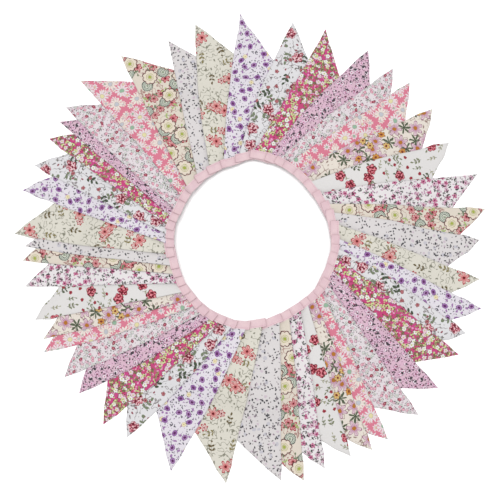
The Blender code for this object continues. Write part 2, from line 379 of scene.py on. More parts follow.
def return_sections(index, shares, levels):
    """The tape's way back over its own run, to the start of the next flag."""
    plan = PLANS[index]
    following = PLANS[(index + 1) % FLAGS]
    way = following["start"] - plan["end"]
    sections = []
    for share in np.linspace(0.0, 1.0, RUN_STATIONS - 2):
        inner = plan["end"] + way * share
        across = plan["across"] + (following["across"] - plan["across"]) * share
        across = across / np.linalg.norm(across)
        above = []
        for off in (0.0, TAPE_WIDTH):
            offset = inner + across * off - plan["start"]
            on_run = offset @ plan["along"] / plan["width"]
            hole_side, outer_side = (np.interp(on_run, shares, levels[:, side]) for side in (0, 1))
            off_run = offset @ plan["across"] / TAPE_WIDTH
            run_below = hole_side + (outer_side - hole_side) * off_run
            above.append(run_below + TAPE_THICKNESS + LAYER_GAP)
        sections.append(tape_section(clear_of_hole(inner)[0], across, above, True))
    return sections


def fold_sections(before, after, forward, first_outside):
    """The tape's turn of 180 degrees from one level to the next one above it."""
    wide = TAPE_THICKNESS + LAYER_GAP / 2.0
    narrow = LAYER_GAP / 2.0
    sections = []
    for step in range(1, FOLD_STATIONS + 1):
        angle = math.pi * step / (FOLD_STATIONS + 1)
        share = (1.0 - math.cos(angle)) / 2.0
        section = []
        for number, (low, high) in enumerate(zip(before, after)):
            outside = (number % 2 == 0) == first_outside
            reach = (wide if outside else narrow) * math.sin(angle)
            x = low[0] + (high[0] - low[0]) * share + forward[0] * reach
            y = low[1] + (high[1] - low[1]) * share + forward[1] * reach
            section.append((x, y, low[2] + (high[2] - low[2]) * share))
        sections.append(section)
    return sections


def tape_sections():
    """The sections of the whole tape, from end to end, and the numbers of those at a fold."""
    index = FIRST_FLAG
    run, shares, levels = run_sections(index)
    sections = list(run)
    folds = []
    while index != LAST_FLAG:
        plan = PLANS[index]
        back = return_sections(index, shares, levels)
        folds.append(len(sections) + FOLD_STATIONS // 2)
        sections += fold_sections(run[-1], back[0], plan["along"], True) + back
        index = (index + 1) % FLAGS
        run, shares, levels = run_sections(index)
        folds.append(len(sections) + FOLD_STATIONS // 2)
        sections += fold_sections(back[-1], run[0], -plan["along"], False) + run
    return sections, folds


# Points round the tape's section: shares of its width from the hole side, and of its thickness.
TAPE_PROFILE = (
    (0.012, 0.16), (0.050, 0.03), (0.30, 0.06), (0.55, 0.06), (0.74, 0.09), (0.93, 0.05),
    (0.985, 0.14), (1.000, 0.38), (0.960, 0.50), (1.000, 0.62), (0.985, 0.86), (0.93, 0.95),
    (0.74, 0.91), (0.55, 0.94), (0.30, 0.94), (0.050, 0.97), (0.012, 0.84), (0.000, 0.50),
)


def make_tape(material):
    """The bias tape: one strip with a folded edge at the hole and a mouth that holds the flags."""
    sections, folds = tape_sections()
    corners = np.array(sections)
    middle = corners.mean(axis=1)
    steps = np.linalg.norm(np.diff(middle, axis=0), axis=1)
    travelled = np.concatenate([[0.0], np.cumsum(steps)])
    # Painted shade: a ramp that is 1 at each fold of the tape and falls to 0 within TAPE_FOLD_SHADE
    # along it.
    from_fold = np.abs(travelled[:, None] - travelled[folds][None, :]).min(axis=1)
    painted_fold_shade = np.repeat(1.0 - smooth_step(from_fold / TAPE_FOLD_SHADE), len(TAPE_PROFILE))
    vertices = []
    uvs = []
    for section, far in zip(corners, travelled):
        for wide, thick in TAPE_PROFILE:
            hole_side = section[0] + (section[1] - section[0]) * thick
            outer_side = section[2] + (section[3] - section[2]) * thick
            vertices.append(hole_side + (outer_side - hole_side) * wide)
            uvs.append((far, wide * TAPE_WIDTH))
    size = len(TAPE_PROFILE)
    faces = []
    for number in range(len(sections) - 1):
        a, b = number * size, (number + 1) * size
        for k in range(size):
            n = (k + 1) % size
            faces.append((a + k, b + k, b + n, a + n))
    faces.append(tuple(range(size)))
    last = (len(sections) - 1) * size
    faces.append(tuple(reversed(range(last, last + size))))
    piece = add_mesh("tape_folded", vertices, faces, uvs, {"fold": painted_fold_shade}, material)
    return piece, float(travelled[-1])


DYE_SHARE = 0.62
EDGE_SOFTNESS = 0.00022

# Relief of the cloth, in metres: the seam allowance, the threads, and a soft rumple; and the width
# of the painted shade along the flags' edges.
SEAM_STEP_NEAR = 0.0052
SEAM_STEP_FAR = 0.0074
SEAM_RELIEF = 0.00010
EDGE_SHADE_WIDTH = 0.0012
WARP_PITCH = 0.00036
WEFT_PITCH = 0.00040
WEAVE_RELIEF = 0.000018
SLUB_RELIEF = 0.00004
RUMPLE_RELIEF = 0.0009

# The tape's stitches: their distance from its mouth, their pitch, and the thread.
STITCHES_FROM_MOUTH = 0.0018
STITCH_PITCH = 0.0026
STITCH_HALF_SHARE = 0.36
THREAD_HALF_WIDTH = 0.00022
GROOVE_HALF_WIDTH = 0.0005
THREAD_RELIEF = 0.00012


def display(*colour):
    """A colour as it looks on screen, as linear light, at the share that the studio light needs."""
    linear = (c / 12.92 if c <= 0.04045 else ((c + 0.055) / 1.055) ** 2.4 for c in colour)
    return tuple(c * DYE_SHARE for c in linear)


class Cloth:
    """A material's node tree, with short calls that draw motifs in the cloth's own metres."""

    def __init__(self, name, ground):
        self.material = bpy.data.materials.new(name)
        self.material.use_nodes = True
        self.tree = self.material.node_tree
        self.tree.nodes.clear()
        self.place = self.node("ShaderNodeUVMap", uv_map="UVMap").outputs[0]
        self.drawn = self.wobbled(self.place, 0.0040, 0.0018)
        self.ground = display(*ground)
        self.colour = self.ground

    def node(self, kind, inputs=None, **settings):
        made = self.tree.nodes.new(kind)
        for key, value in settings.items():
            setattr(made, key, value)
        for key, value in (inputs or {}).items():
            socket = made.inputs[key]
            if isinstance(value, bpy.types.NodeSocket):
                self.tree.links.new(value, socket)
            elif socket.type == "RGBA":
                socket.default_value = (*value, 1.0)
            else:
                socket.default_value = value
        return made

    def wobbled(self, place, size, amount):
        """The place moved about a little, so that motifs look drawn by hand."""
        drift = self.vector("SUBTRACT", self.noise_at(place, size, 1.0)[1], (0.5, 0.5, 0.5))
        return self.vector("MULTIPLY_ADD", drift, (amount, amount, 0.0), place)

    def vector(self, operation, *values):
        inputs = dict(enumerate(values))
        return self.node("ShaderNodeVectorMath", inputs, operation=operation).outputs[0]

    def noise_at(self, place, size, detail):
        inputs = {"Vector": place, "Scale": 1.0 / size, "Detail": detail}
        return self.node("ShaderNodeTexNoise", inputs, noise_dimensions="2D").outputs

    def math(self, operation, *values, clamp=False):
        inputs = dict(enumerate(values))
        return self.node("ShaderNodeMath", inputs, operation=operation, use_clamp=clamp).outputs[0]

    def plus(self, first, second):
        return self.math("ADD", first, second)

    def minus(self, first, second):
        return self.math("SUBTRACT", first, second)

    def times(self, *values):
        product = values[0]
        for value in values[1:]:
            product = self.math("MULTIPLY", product, value)
        return product

    def times_plus(self, value, factor, added, clamp=False):
        return self.math("MULTIPLY_ADD", value, factor, added, clamp=clamp)

    def absolute(self, value):
        return self.math("ABSOLUTE", value)

    def mix(self, factor, first, second):
        made = self.node("ShaderNodeMix", {0: factor, 6: first, 7: second}, data_type="RGBA")
        return made.outputs[2]

    def paint(self, mask, colour):
        self.colour = self.mix(mask, self.colour, colour)

    def mask(self, inside, soft=EDGE_SOFTNESS):
        """1 where inside is above 0, with a soft edge."""
        return self.times_plus(inside, 1.0 / soft, 0.5, clamp=True)

    def line(self, distance, width):
        """1 on the line where distance is 0."""
        return self.mask(self.minus(width / 2.0, self.absolute(distance)))

    def chance(self, number, share):
        return self.math("LESS_THAN", number, share)

    def noise(self, size, detail=2.0, shift=0.0):
        place = self.vector("ADD", self.place, (shift, shift * 0.7, 0.0))
        return self.noise_at(place, size, detail)[0]

    def scatter(self, spacing, shift, loose):
        """A motif's own x, y, reach, angle and two random numbers, in each cell of a loose grid."""
        moved = self.vector("ADD", self.drawn, (*shift, 0.0))
        cells = self.node(
            "ShaderNodeTexVoronoi", {"Vector": moved, "Scale": 1.0 / spacing, "Randomness": loose},
            voronoi_dimensions="2D", feature="F1",
        )
        offset = self.vector("SUBTRACT", moved, cells.outputs["Position"])
        numbers = self.node("ShaderNodeSeparateColor", {0: cells.outputs["Color"]}).outputs
        turn = self.times(numbers[2], 2.0 * math.pi)
        turned = self.node(
            "ShaderNodeVectorRotate", {"Vector": offset, "Angle": turn}, rotation_type="Z_AXIS"
        )
        parts = self.node("ShaderNodeSeparateXYZ", {0: turned.outputs[0]}).outputs
        reach = self.node("ShaderNodeVectorMath", {0: offset}, operation="LENGTH").outputs["Value"]
        angle = self.math("ARCTAN2", parts[1], parts[0])
        return {
            "x": parts[0], "y": parts[1], "reach": reach, "angle": angle,
            "a": numbers[0], "b": numbers[1],
        }

    def petals(self, at, number, radius, depth, sharp=0.6):
        """How far points are inside a flower's outline of rounded petals."""
        wave = self.absolute(self.math("COSINE", self.times(at["angle"], number / 2.0)))
        wave = self.math("POWER", wave, sharp)
        outline = self.times_plus(wave, radius * depth, radius * (1.0 - depth))
        return self.minus(outline, at["reach"])

    def disc(self, at, radius):
        return self.minus(radius, at["reach"])

    def lens(self, x, y, length, width):
        """How far points are inside a leaf that starts at x 0."""
        share = self.times_plus(x, 2.0 / length, -1.0)
        bow = self.times_plus(self.times(share, share), -width / 2.0, width / 2.0)
        return self.minus(bow, self.absolute(y))

    def leaf_pair(self, at, start, length, width, lean):
        """Two leaves that lean out from both sides of a stem along x."""
        x = self.minus(at["x"], start)
        y = self.absolute(at["y"])
        c, s = math.cos(lean), math.sin(lean)
        on = self.plus(self.times(x, c), self.times(y, s))
        off = self.minus(self.times(y, c), self.times(x, s))
        return self.lens(on, off, length, width)

    def stem(self, at, start, end, width, bend):
        """How far points are inside a bowed stem along x."""
        middle = (start + end) / 2.0
        half = (end - start) / 2.0
        x = self.minus(at["x"], middle)
        bowed = self.times_plus(self.times(x, x), bend, at["y"])
        side = self.minus(width / 2.0, self.absolute(bowed))
        return self.math("MINIMUM", side, self.minus(half, self.absolute(x)))

    # Motifs. Sizes are in millimetres here, shifts in metres, colours as they look on screen.

    def dots(self, spacing, radius, colours, share=1.0, shift=(0.0, 0.0), loose=0.9, long=1.0):
        at = self.scatter(spacing / 1000, shift, loose)
        x, y = self.times(at["x"], 1.0 / long), at["y"]
        reach = self.math("SQRT", self.plus(self.times(x, x), self.times(y, y)))
        size = self.times_plus(at["b"], 0.7 * radius / 1000, 0.65 * radius / 1000)
        shown = self.times(self.mask(self.minus(size, reach)), self.chance(at["a"], share))
        colour = display(*colours[0])
        if len(colours) > 1:
            colour = self.mix(self.chance(at["b"], 0.5), colour, display(*colours[1]))
        self.paint(shown, colour)

    def blossom(
        self, spacing, radius, number, depth, fill, edge, middle, share=1.0, shift=(0.0, 0.0),
        loose=0.6, sharp=0.6, line=0.5, core=0.25, rays=0.0, deep=None, halo=0.0, second=None,
        wash=1.0, rings=(), long=1.0,
    ):
        """Flowers with an outline, a shaded middle and a core."""
        at = self.scatter(spacing / 1000, shift, loose)
        shown = self.chance(at["a"], share)
        if long != 1.0:
            x, y = self.times(at["x"], 1.0 / long), at["y"]
            square = self.plus(self.times(x, x), self.times(y, y))
            at = {**at, "reach": self.math("SQRT", square), "angle": self.math("ARCTAN2", y, x)}
        inside = self.petals(at, number, radius / 1000, depth, sharp)
        if halo:
            wide = self.plus(inside, halo / 1000)
            self.paint(self.times(self.mask(wide), shown), self.ground)
        body = self.times(self.mask(inside), shown)
        colour = display(*fill)
        if second:
            colour = self.mix(self.chance(at["b"], 0.5), colour, display(*second))
        if deep:
            depth_share = self.times_plus(at["reach"], -1000 / radius, 1.0, clamp=True)
            colour = self.mix(depth_share, colour, display(*deep))
        self.paint(self.times(body, wash), colour)
        if rays:
            wave = self.math("SINE", self.times(at["angle"], number))
            spoke = self.line(self.times(wave, at["reach"]), rays / 1000)
            near = self.mask(self.minus(0.8 * radius / 1000, at["reach"]))
            self.paint(self.times(body, spoke, near), display(*edge))
        if line:
            rim = self.line(self.minus(inside, line / 2000), line / 1000)
            self.paint(self.times(rim, shown), display(*edge))
        for ring_radius, ring_width, ring_colour in rings:
            ring = self.line(self.minus(at["reach"], ring_radius / 1000), ring_width / 1000)
            self.paint(self.times(ring, shown), display(*ring_colour))
        if core:
            heart = self.mask(self.disc(at, radius * core / 1000))
            self.paint(self.times(heart, shown), display(*middle))
        return at, shown

    def sprig(
        self, spacing, length, leaf, width, colours, stem_colour, share=1.0, shift=(0.0, 0.0),
        loose=0.6, pairs=2, lean=0.8, stem=0.35,
    ):
        """Stems with pairs of leaves and one leaf at the end."""
        at = self.scatter(spacing / 1000, shift, loose)
        shown = self.chance(at["a"], share)
        low = -length / 2000
        line = self.stem(at, low, -low, stem / 1000, 20.0)
        self.paint(self.times(self.mask(line), shown), display(*stem_colour))
        colour = self.mix(self.chance(at["b"], 0.5), display(*colours[0]), display(*colours[-1]))
        for pair in range(pairs):
            start = low + (pair + 0.6) * length / 1000 / (pairs + 0.6)
            leaves = self.leaf_pair(at, start, leaf / 1000, width / 1000, lean)
            self.paint(self.times(self.mask(leaves), shown), colour)
        end_leaf = self.lens(self.minus(at["x"], -low), at["y"], leaf / 1000, width / 1000)
        self.paint(self.times(self.mask(end_leaf), shown), colour)

    def rose(self, spacing, radius, light, mid, dark, share=1.0, shift=(0.0, 0.0), loose=0.6):
        """Full roses: uneven light and dark petals on a lobed outline, darkest in the middle."""
        at = self.scatter(spacing / 1000, shift, loose)
        shown = self.chance(at["a"], share)
        inside = self.petals(at, 5, radius / 1000, 0.28, 0.8)
        body = self.times(self.mask(inside), shown)
        self.paint(body, display(*mid))
        folds = self.noise(radius / 2800, 1.0, radius / 700)
        folds = self.times_plus(at["reach"], 110.0 / radius, folds)
        self.paint(self.times(body, self.mask(self.minus(folds, 0.61), 0.07)), display(*light))
        self.paint(self.times(body, self.mask(self.minus(0.50, folds), 0.06)), display(*dark))
        rim = self.line(self.minus(inside, 0.0002), 0.0006)
        self.paint(self.times(rim, shown, 0.8), display(*dark))

    def scribble(
        self, spacing, radius, size, colour, share=1.0, shift=(0.0, 0.0), width=0.16, strength=0.8
    ):
        """Patches of thin wandering lines, like drawn twigs and outlined leaves."""
        at = self.scatter(spacing / 1000, shift, 0.7)
        rough = self.noise(size / 1000, 1.0, shift[0] + 0.37)
        contour = self.absolute(self.minus(self.math("FRACT", self.times(rough, 3.4)), 0.5))
        drawn = self.times_plus(contour, -1.0 / width, 1.25, clamp=True)
        patch = self.minus(radius / 1000, at["reach"])
        ragged = self.times_plus(self.noise(size / 2000, 1.0, 0.11), radius / 700, patch)
        patch = self.mask(self.minus(ragged, radius / 1400), 0.001)
        shown = self.chance(at["a"], share)
        self.paint(self.times(drawn, patch, shown, strength), display(*colour))

    def mottle(self, size, colour, strength):
        """Soft uneven patches of a second ground colour."""
        patch = self.times_plus(self.noise(size / 1000, 2.0, 0.53), 4.0, -1.5, clamp=True)
        self.paint(self.times(patch, strength), display(*colour))

    def eased(self, value, start, end, first, last):
        """A smooth change from first to last while the value goes from start to end."""
        inputs = {"Value": value, 1: start, 2: end, 3: first, 4: last}
        made = self.node("ShaderNodeMapRange", inputs, interpolation_type="SMOOTHSTEP")
        return made.outputs[0]

    def seam_height(self):
        """Relief of a turned pennant: the seam allowance shows as a faint step inside its edges.
        Also a ramp from the edges for the painted edge shade.
        """
        edge = self.node("ShaderNodeAttribute", attribute_name="edge").outputs["Fac"]
        wander = self.times_plus(self.noise(0.012, 1.0, 0.9), 0.0016, edge)
        step = self.eased(wander, SEAM_STEP_NEAR, SEAM_STEP_FAR, 1.0, 0.0)
        edge_shade_ramp = self.eased(edge, 0.0, EDGE_SHADE_WIDTH, 0.0, 1.0)
        return step, edge_shade_ramp

    def weave_height(self):
        """Relief of a plain weave, finer than a third of a millimetre."""
        parts = self.node("ShaderNodeSeparateXYZ", {0: self.place}).outputs
        warp = self.math("SINE", self.times(parts[0], 2.0 * math.pi / WARP_PITCH))
        weft = self.math("SINE", self.times(parts[1], 2.0 * math.pi / WEFT_PITCH))
        slub = self.noise(0.0009, 3.0, 0.21)
        woven = self.times_plus(self.times(warp, weft), WEAVE_RELIEF, self.times(slub, SLUB_RELIEF))
        return self.times_plus(self.noise(0.016, 2.0, 0.77), RUMPLE_RELIEF, woven)

    def finish(self, height):
        """Joins colour and relief to the shader."""
        tone = self.times_plus(self.noise(0.0016, 3.0, 0.4), 0.10, 0.95)
        grey = self.node("ShaderNodeCombineColor", {0: tone, 1: tone, 2: tone}).outputs[0]
        inputs = {0: 1.0, 6: self.colour, 7: grey}
        shaded = self.node("ShaderNodeMix", inputs, data_type="RGBA", blend_type="MULTIPLY")
        bump = self.node("ShaderNodeBump", {"Height": height, "Strength": 0.7, "Distance": 1.0})
        shader = self.node("ShaderNodeBsdfPrincipled", {
            "Base Color": shaded.outputs[2], "Normal": bump.outputs[0], "Roughness": 0.88,
            "Specular IOR Level": 0.25, "Sheen Weight": 0.12, "Sheen Roughness": 0.6,
        })
        output = self.node("ShaderNodeOutputMaterial")
        self.tree.links.new(shader.outputs[0], output.inputs[0])
        return self.material

    def finish_flag(self):
        step, edge_shade_ramp = self.seam_height()
        # Painted shade: the colour turns a little greyer and darker within about a millimetre of
        # the flag's edges, as if the pressed edge turned away from the light.
        edge_shade = self.times_plus(edge_shade_ramp, -0.10, 0.10)
        self.paint(edge_shade, tuple(c * 0.55 for c in display(0.80, 0.76, 0.78)))
        return self.finish(self.times_plus(step, SEAM_RELIEF, self.weave_height()))


def print_coral_on_cream(cloth):
    cloth.scribble(
        20, 11, 8, (0.42, 0.42, 0.34), share=0.95, shift=(0.011, 0.004), width=0.12, strength=0.85,
    )
    cloth.sprig(
        24, 12, 4.6, 2.2, ((0.40, 0.34, 0.20), (0.54, 0.50, 0.33)), (0.34, 0.25, 0.18), share=0.60,
        shift=(0.020, 0.013), lean=0.9,
    )
    cloth.blossom(
        23, 4.8, 6, 0.55, (0.94, 0.84, 0.82), (0.68, 0.12, 0.18), (0.48, 0.06, 0.12), share=0.50,
        shift=(0.013, 0.003), loose=0.75, sharp=0.9, line=1.1, core=0.2, rays=1.2,
    )
    cloth.blossom(
        25, 8.0, 6, 0.64, (0.95, 0.88, 0.85), (0.66, 0.06, 0.12), (0.42, 0.02, 0.07), share=0.50,
        shift=(0.004, 0.009), loose=0.75, sharp=0.9, line=1.3, core=0.18, rays=1.8,
        deep=(0.88, 0.38, 0.40), second=(0.95, 0.80, 0.79), wash=0.95,
    )


def print_lilac_blossom(cloth):
    cloth.dots(
        2.9, 0.52, ((0.40, 0.38, 0.43), (0.60, 0.46, 0.64)), share=0.64, shift=(0.003, 0.001),
        loose=1.0, long=1.6,
    )
    cloth.dots(
        6.2, 0.95, ((0.64, 0.48, 0.68), (0.38, 0.37, 0.41)), share=0.50, shift=(0.001, 0.006),
        long=1.7,
    )
    cloth.drawn = cloth.wobbled(cloth.place, 0.0050, 0.0007)
    cloth.blossom(
        27, 2.9, 5, 0.30, (0.94, 0.90, 0.76), (0.78, 0.68, 0.48), (0.80, 0.70, 0.40), share=0.6,
        shift=(0.018, 0.004), line=0.4,
    )
    cloth.blossom(
        14.0, 3.0, 6, 0.08, (0.66, 0.46, 0.72), (0.52, 0.33, 0.58), (0.38, 0.16, 0.38), share=0.88,
        shift=(0.002, 0.003), loose=0.42, line=0.7, core=0.50, second=(0.74, 0.58, 0.78), long=1.3,
    )


def print_rose_on_pale_blue(cloth):
    cloth.scribble(
        19, 10, 8, (0.40, 0.34, 0.34), share=0.85, shift=(0.004, 0.012), width=0.11, strength=0.85,
    )
    cloth.dots(
        6.5, 0.9, ((0.60, 0.34, 0.38), (0.46, 0.46, 0.42)), share=0.40, shift=(0.004, 0.002),
        loose=1.0, long=1.6,
    )
    cloth.sprig(
        20, 14, 5.8, 3.4, ((0.27, 0.32, 0.24), (0.48, 0.52, 0.42)), (0.24, 0.21, 0.21), share=0.60,
        shift=(0.015, 0.001), loose=0.7, lean=0.9, stem=0.6,
    )
    cloth.blossom(
        14, 2.6, 5, 0.3, (0.76, 0.46, 0.48), (0.42, 0.18, 0.21), (0.38, 0.12, 0.16), share=0.45,
        shift=(0.008, 0.002), loose=0.7,
    )
    cloth.rose(
        28, 7.2, (0.95, 0.82, 0.83), (0.78, 0.40, 0.47), (0.42, 0.07, 0.15), share=0.62,
        shift=(0.006, 0.017), loose=0.7,
    )


def print_magenta_mosaic(cloth):
    cloth.mottle(11, (0.78, 0.26, 0.34), 0.55)
    cloth.dots(
        3.4, 0.9, ((0.92, 0.66, 0.78), (0.46, 0.18, 0.24)), share=0.62, shift=(0.002, 0.002),
        loose=1.0, long=1.2,
    )
    cloth.sprig(
        6.6, 4.8, 3.2, 2.3, ((0.78, 0.82, 0.56), (0.62, 0.58, 0.40)), (0.34, 0.24, 0.16),
        share=0.85, shift=(0.001, 0.003), loose=0.9, pairs=1, lean=0.9, stem=0.8,
    )
    cloth.blossom(
        7.6, 3.6, 5, 0.36, (0.96, 0.95, 0.95), (0.42, 0.28, 0.26), (0.78, 0.82, 0.52), share=0.70,
        shift=(0.003, 0.001), loose=0.8, line=0.6, core=0.26, second=(0.94, 0.82, 0.88),
    )
    cloth.sprig(
        6.2, 4.4, 3.0, 2.1, ((0.84, 0.87, 0.62), (0.50, 0.45, 0.32)), (0.36, 0.26, 0.18),
        share=0.55, shift=(0.006, 0.005), loose=0.9, pairs=1, lean=0.9, stem=0.8,
    )


def print_lilac_dots(cloth):
    cloth.mottle(7, (0.90, 0.74, 0.83), 0.9)
    cloth.blossom(
        6.2, 3.0, 5, 0.35, (0.97, 0.91, 0.95), (0.50, 0.36, 0.45), (0.78, 0.50, 0.62), share=0.80,
        shift=(0.002, 0.001), loose=0.9, core=0.3, second=(0.94, 0.80, 0.89),
    )
    cloth.dots(
        3.0, 0.62, ((0.28, 0.23, 0.26), (0.60, 0.42, 0.53)), share=0.66, shift=(0.001, 0.002),
        loose=1.0, long=1.7,
    )
    cloth.dots(
        6.0, 1.05, ((0.26, 0.24, 0.27), (0.48, 0.26, 0.36)), share=0.45, shift=(0.003, 0.001),
        loose=1.0, long=1.5,
    )


def print_pale_ditsy(cloth):
    cloth.blossom(
        5.6, 2.4, 5, 0.35, (0.88, 0.90, 0.88), (0.50, 0.54, 0.52), (0.76, 0.64, 0.60), share=0.75,
        shift=(0.002, 0.003), loose=0.8, line=0.42, second=(0.93, 0.78, 0.84),
    )
    cloth.dots(
        2.6, 0.46, ((0.36, 0.34, 0.35), (0.66, 0.52, 0.58)), share=0.55, shift=(0.001, 0.001),
        loose=1.0, long=1.7,
    )
    cloth.blossom(
        8.0, 1.9, 5, 0.3, (0.90, 0.64, 0.72), (0.66, 0.38, 0.46), (0.93, 0.84, 0.82), share=0.60,
        shift=(0.004, 0.001), loose=0.8, line=0.3,
    )
    cloth.blossom(
        14.5, 1.9, 5, 0.2, (0.70, 0.28, 0.38), (0.46, 0.13, 0.22), (0.80, 0.60, 0.60), share=0.55,
        shift=(0.006, 0.004), loose=0.8, core=0.3, long=1.3,
    )


def print_pink_daisy(cloth):
    for spacing, radius, number, shift, loose, share in (
        (10.0, 4.4, 8, (0.003, 0.002), 0.45, 1.00),
        (18.5, 8.8, 11, (0.009, 0.005), 0.25, 0.80),
    ):
        cream = (0.94, 0.91, 0.87)
        at, shown = cloth.blossom(
            spacing, radius, number, 0.62, cream, cream, (0.78, 0.79, 0.82), share=share,
            shift=shift, loose=loose, sharp=1.15, line=0.0, core=0.32, halo=0.8,
            second=(0.93, 0.89, 0.90),
        )
        middle = cloth.times(cloth.mask(cloth.disc(at, radius * 0.32 / 1000)), shown)
        cloth.paint(cloth.times(middle, cloth.chance(at["b"], 0.40)), display(0.91, 0.88, 0.68))
        cloth.paint(cloth.times(middle, cloth.chance(at["b"], 0.20)), display(0.60, 0.74, 0.64))
        ring = cloth.line(cloth.minus(at["reach"], radius * 0.31 / 1000), 0.0006)
        cloth.paint(cloth.times(ring, shown, 0.7), display(0.72, 0.60, 0.56))


def print_cream_lily(cloth):
    cloth.scribble(
        19, 11, 8, (0.50, 0.36, 0.32), share=0.95, shift=(0.003, 0.008), width=0.12, strength=0.85,
    )
    cloth.blossom(
        21, 8.4, 7, 0.86, (0.34, 0.38, 0.29), (0.20, 0.26, 0.19), (0.28, 0.32, 0.24), share=0.60,
        shift=(0.017, 0.004), sharp=1.6, line=0.3, core=0.12,
    )
    cloth.blossom(
        20, 9.6, 6, 0.62, (0.95, 0.89, 0.89), (0.54, 0.26, 0.44), (0.72, 0.46, 0.16), share=0.70,
        shift=(0.006, 0.011), sharp=1.1, line=0.9, core=0.26, rays=1.5, deep=(0.76, 0.48, 0.66),
    )
    cloth.blossom(
        15, 4.9, 6, 0.42, (0.83, 0.58, 0.26), (0.50, 0.28, 0.14), (0.52, 0.22, 0.12), share=0.42,
        shift=(0.011, 0.003), loose=0.8, sharp=0.7, line=0.7, core=0.30, second=(0.88, 0.74, 0.46),
    )


def print_rosebud(cloth):
    cloth.sprig(
        15, 10, 3.4, 1.3, ((0.46, 0.50, 0.37), (0.64, 0.64, 0.52)), (0.44, 0.42, 0.34), share=0.60,
        shift=(0.003, 0.006), loose=0.8, lean=0.7, stem=0.5,
    )
    cloth.blossom(
        12, 2.1, 5, 0.25, (0.72, 0.24, 0.29), (0.44, 0.10, 0.14), (0.36, 0.06, 0.12), share=0.42,
        shift=(0.007, 0.002), loose=0.8, line=0.4, core=0.3,
    )
    cloth.sprig(
        21, 10, 4.2, 2.2, ((0.32, 0.36, 0.26), (0.50, 0.52, 0.40)), (0.32, 0.30, 0.24), share=0.70,
        shift=(0.0125, 0.0005), lean=1.0, stem=0.5,
    )
    cloth.rose(
        22, 6.6, (0.91, 0.56, 0.60), (0.68, 0.17, 0.26), (0.38, 0.04, 0.11), share=0.52,
        shift=(0.011, 0.004), loose=0.7,
    )


def print_magenta_blossom(cloth):
    cloth.dots(
        3.6, 0.75, ((0.76, 0.60, 0.70), (0.58, 0.52, 0.57)), share=0.55, shift=(0.001, 0.003),
        loose=1.0, long=1.6,
    )
    cloth.blossom(
        8.4, 3.2, 5, 0.50, (0.86, 0.50, 0.66), (0.52, 0.20, 0.34), (0.44, 0.12, 0.26), share=0.66,
        shift=(0.002, 0.001), loose=0.8, sharp=0.8, line=0.45, core=0.28, rays=0.6,
        second=(0.93, 0.78, 0.86),
    )
    cloth.sprig(
        6.2, 4.4, 2.6, 1.4, ((0.14, 0.17, 0.14), (0.34, 0.35, 0.32)), (0.28, 0.27, 0.26),
        share=0.66, shift=(0.003, 0.004), loose=0.9, pairs=1, lean=0.9, stem=0.4,
    )


def print_peach_medallion(cloth):
    cloth.scribble(18, 10, 8, (0.56, 0.28, 0.27), share=0.9, shift=(0.005, 0.002), width=0.12)
    cloth.blossom(
        15, 6.0, 6, 0.48, (0.94, 0.76, 0.77), (0.62, 0.04, 0.14), (0.42, 0.02, 0.09), share=0.64,
        shift=(0.004, 0.008), loose=0.7, sharp=0.8, line=1.2, core=0.20, rays=1.7,
        deep=(0.84, 0.30, 0.38), second=(0.95, 0.87, 0.85),
    )
    cloth.sprig(
        13, 7, 4.0, 2.3, ((0.68, 0.76, 0.48), (0.46, 0.52, 0.40)), (0.40, 0.42, 0.32), share=0.60,
        shift=(0.009, 0.002), loose=0.8, pairs=1, lean=0.9, stem=0.5,
    )
    green = (0.34, 0.40, 0.37)
    cloth.blossom(
        26, 7.2, 14, 0.08, (0.86, 0.87, 0.81), (0.28, 0.34, 0.31), (0.60, 0.64, 0.56), share=0.75,
        shift=(0.013, 0.005), loose=0.4, line=1.0, core=0.22,
        rings=((5.0, 1.0, (0.58, 0.63, 0.58)), (3.2, 0.8, green)),
    )
    cloth.blossom(
        28, 9.8, 8, 0.22, (0.93, 0.88, 0.81), (0.36, 0.12, 0.16), (0.66, 0.70, 0.32), share=0.62,
        shift=(0.003, 0.0145), loose=0.40, line=1.1, core=0.20,
        rings=((4.4, 0.6, (0.72, 0.72, 0.48)), (2.7, 0.5, (0.62, 0.64, 0.34))),
    )


def print_lilac_fleck(cloth):
    cloth.dots(
        9.0, 1.6, ((0.80, 0.79, 0.82), (0.84, 0.78, 0.82)), share=0.6, shift=(0.002, 0.003),
        long=1.3,
    )
    cloth.dots(
        3.8, 0.68, ((0.26, 0.26, 0.28), (0.48, 0.44, 0.46)), share=0.55, shift=(0.001, 0.002),
        loose=1.0, long=1.7,
    )
    cloth.sprig(
        10, 4.8, 2.9, 1.6, ((0.27, 0.27, 0.29), (0.52, 0.48, 0.51)), (0.38, 0.36, 0.39),
        share=0.46, shift=(0.004, 0.001), loose=0.9, pairs=1, lean=0.9,
    )


PRINTS = {
    "print_coral_on_cream": (print_coral_on_cream, (0.895, 0.88, 0.832)),
    "print_lilac_blossom": (print_lilac_blossom, (0.92, 0.90, 0.93)),
    "print_rose_on_pale_blue": (print_rose_on_pale_blue, (0.91, 0.905, 0.915)),
    "print_magenta_mosaic": (print_magenta_mosaic, (0.81, 0.28, 0.55)),
    "print_lilac_dots": (print_lilac_dots, (0.88, 0.75, 0.81)),
    "print_pale_ditsy": (print_pale_ditsy, (0.92, 0.885, 0.90)),
    "print_pink_daisy": (print_pink_daisy, (0.875, 0.50, 0.59)),
    "print_cream_lily": (print_cream_lily, (0.93, 0.895, 0.85)),
    "print_rosebud": (print_rosebud, (0.91, 0.90, 0.895)),
    "print_magenta_blossom": (print_magenta_blossom, (0.94, 0.92, 0.925)),
    "print_peach_medallion": (print_peach_medallion, (0.905, 0.865, 0.81)),
    "print_lilac_fleck": (print_lilac_fleck, (0.89, 0.872, 0.872)),
}


def make_print(slot):
    draw, ground = PRINTS[slot]
    cloth = Cloth(slot, ground)
    draw(cloth)
    return cloth.finish_flag()


